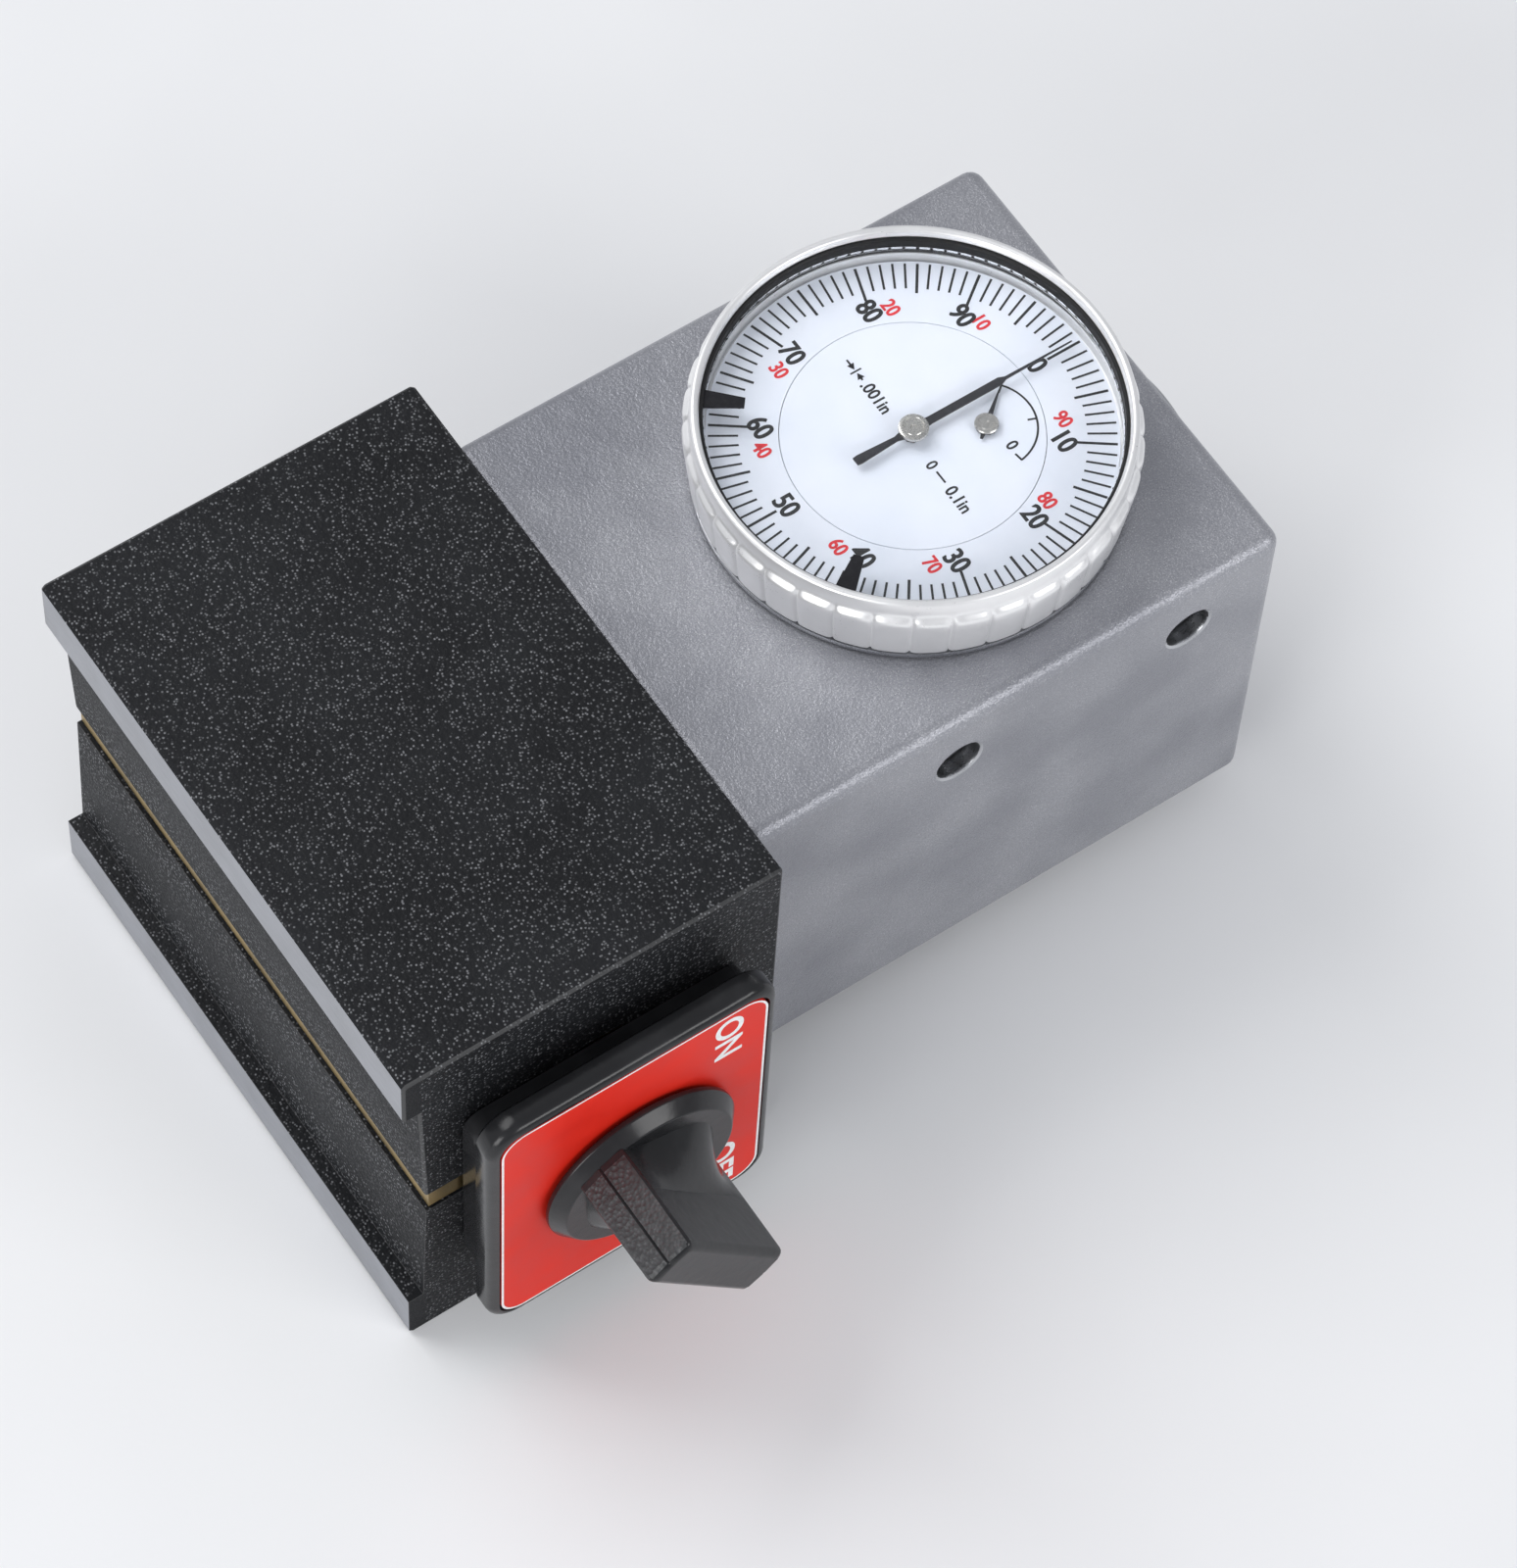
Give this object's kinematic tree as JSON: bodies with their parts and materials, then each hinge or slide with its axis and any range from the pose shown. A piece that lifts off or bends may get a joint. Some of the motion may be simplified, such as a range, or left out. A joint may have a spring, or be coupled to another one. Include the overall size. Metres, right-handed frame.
{
  "type": "dial indicator on magnetic base",
  "caption": "Plunger dial indicator in a square block fixed to a switchable magnetic base, lying on its back, with a round contact anvil at the far end.",
  "frame": {"origin": "centre of the bounding box in X and Y, on the face the tool lies on", "axes": "+X along the tool from the magnetic foot to the contact anvil, +Z along the dial's axis out of the dial, -Y towards the switch knob"},
  "size_m": [0.1042, 0.0796, 0.0555],
  "materials": {
    "black_paint": "coarse sand-textured paint",
    "silver_paint": "hammered silver paint",
    "ground_steel": "ground",
    "dark_steel": "blackened",
    "magnet": "plain",
    "brass": "machined",
    "black_plastic": "moulded, glossy",
    "red_label": "printed film",
    "satin_chrome": "satin",
    "dial_white": "matt printed",
    "pointer_black": "satin",
    "nickel": "nickel plated",
    "crystal": "clear",
    "rubber": "matt",
    "spring_steel": "plain"
  },
  "bodies": {
    "base": {"base_pole_upper": "black_paint", "base_pole_lower": "black_paint", "spacer_foot": "brass", "spacer_top": "brass", "rotor_front_bush": "brass", "rear_bearing": "dark_steel", "stop_pin": "dark_steel", "switch_frame": "black_plastic", "switch_label": "red_label", "frame_screw_1": "dark_steel", "frame_screw_2": "dark_steel", "indicator_housing": "silver_paint", "back_cover": "silver_paint", "cover_screw_1": "dark_steel", "cover_screw_2": "dark_steel", "cover_screw_3": "dark_steel", "cover_screw_4": "dark_steel", "mounting_screw_1": "dark_steel", "mounting_screw_2": "dark_steel", "side_screw_1": "dark_steel", "side_screw_2": "dark_steel", "stem_bushing": "ground_steel", "guide_bushing": "brass", "return_spring": "spring_steel", "movement_plate": "brass", "middle_bridge": "brass", "lower_bridge": "brass", "pillar_1": "nickel", "pillar_2": "nickel", "pillar_3": "nickel", "dial_case": "ground_steel", "case_screw_1": "nickel", "case_screw_2": "nickel", "inner_dial": "dial_white", "hairspring": "spring_steel", "retaining_wire": "spring_steel"},
    "switch_rotor": {"magnet_rotor": "magnet", "switch_shaft": "dark_steel", "switch_knob": "black_plastic"},
    "plunger": {"spindle": "ground_steel", "guide_pin": "nickel", "spring_collar": "nickel", "contact_anvil": "ground_steel"},
    "pointer_arbor": {"centre_arbor": "ground_steel", "main_pointer": "pointer_black", "pointer_hub": "nickel"},
    "rack_gear": {"rack_arbor": "ground_steel", "rack_wheel": "brass"},
    "revolution_gear": {"rev_arbor": "ground_steel", "rev_wheel": "brass", "rev_hand": "pointer_black", "rev_hub": "nickel"},
    "bezel_ring": {"bezel": "satin_chrome", "crystal": "crystal", "crystal_gasket": "rubber", "scale_ring": "dial_white"},
    "limit_left": {"limit_marker_left": "pointer_black"},
    "limit_right": {"limit_marker_right": "pointer_black"}
  },
  "joints": [
    {"name": "switch_turn", "type": "hinge", "parent": "base", "child": "switch_rotor", "pos_m": [-0.03167, -0.0202, 0.025], "axis": [0, -1, 0], "range_deg": [0, 106]},
    {"name": "plunger_slide", "type": "slide", "parent": "base", "child": "plunger", "axis": [-1, 0, 0], "range_m": [0, 0.00254], "stiffness_N_per_m": 150, "springref_m": -0.004},
    {"name": "pointer_turn", "type": "hinge", "parent": "base", "child": "pointer_arbor", "pos_m": [0.02188, 0.0098, 0.05133], "axis": [0, 0, 1], "range_deg": [0, 360]},
    {"name": "rack_gear_turn", "type": "hinge", "parent": "base", "child": "rack_gear", "pos_m": [0.01578, 0.01269, 0.0327], "axis": [0, 0, -1], "range_deg": [0, 120.5]},
    {"name": "revolution_turn", "type": "hinge", "parent": "base", "child": "revolution_gear", "pos_m": [0.02798, 0.0069, 0.05133], "axis": [0, 0, -1], "range_deg": [0, 120.5]},
    {"name": "bezel_turn", "type": "hinge", "parent": "base", "child": "bezel_ring", "pos_m": [0.02188, 0.0098, 0.05133], "axis": [0, 0, 1], "continuous": true},
    {"name": "limit_left_turn", "type": "hinge", "parent": "bezel_ring", "child": "limit_left", "pos_m": [0.02188, 0.0098, 0.0541], "axis": [0, 0, 1], "range_deg": [-120, 30]},
    {"name": "limit_right_turn", "type": "hinge", "parent": "bezel_ring", "child": "limit_right", "pos_m": [0.02188, 0.0098, 0.0541], "axis": [0, 0, 1], "range_deg": [-30, 120]}
  ],
  "couplings": [
    {"joint": "pointer_turn", "follows": "plunger_slide", "rad_per_m": 2473.7},
    {"joint": "rack_gear_turn", "follows": "plunger_slide", "rad_per_m": 824.56},
    {"joint": "revolution_turn", "follows": "plunger_slide", "rad_per_m": 824.56}
  ]
}
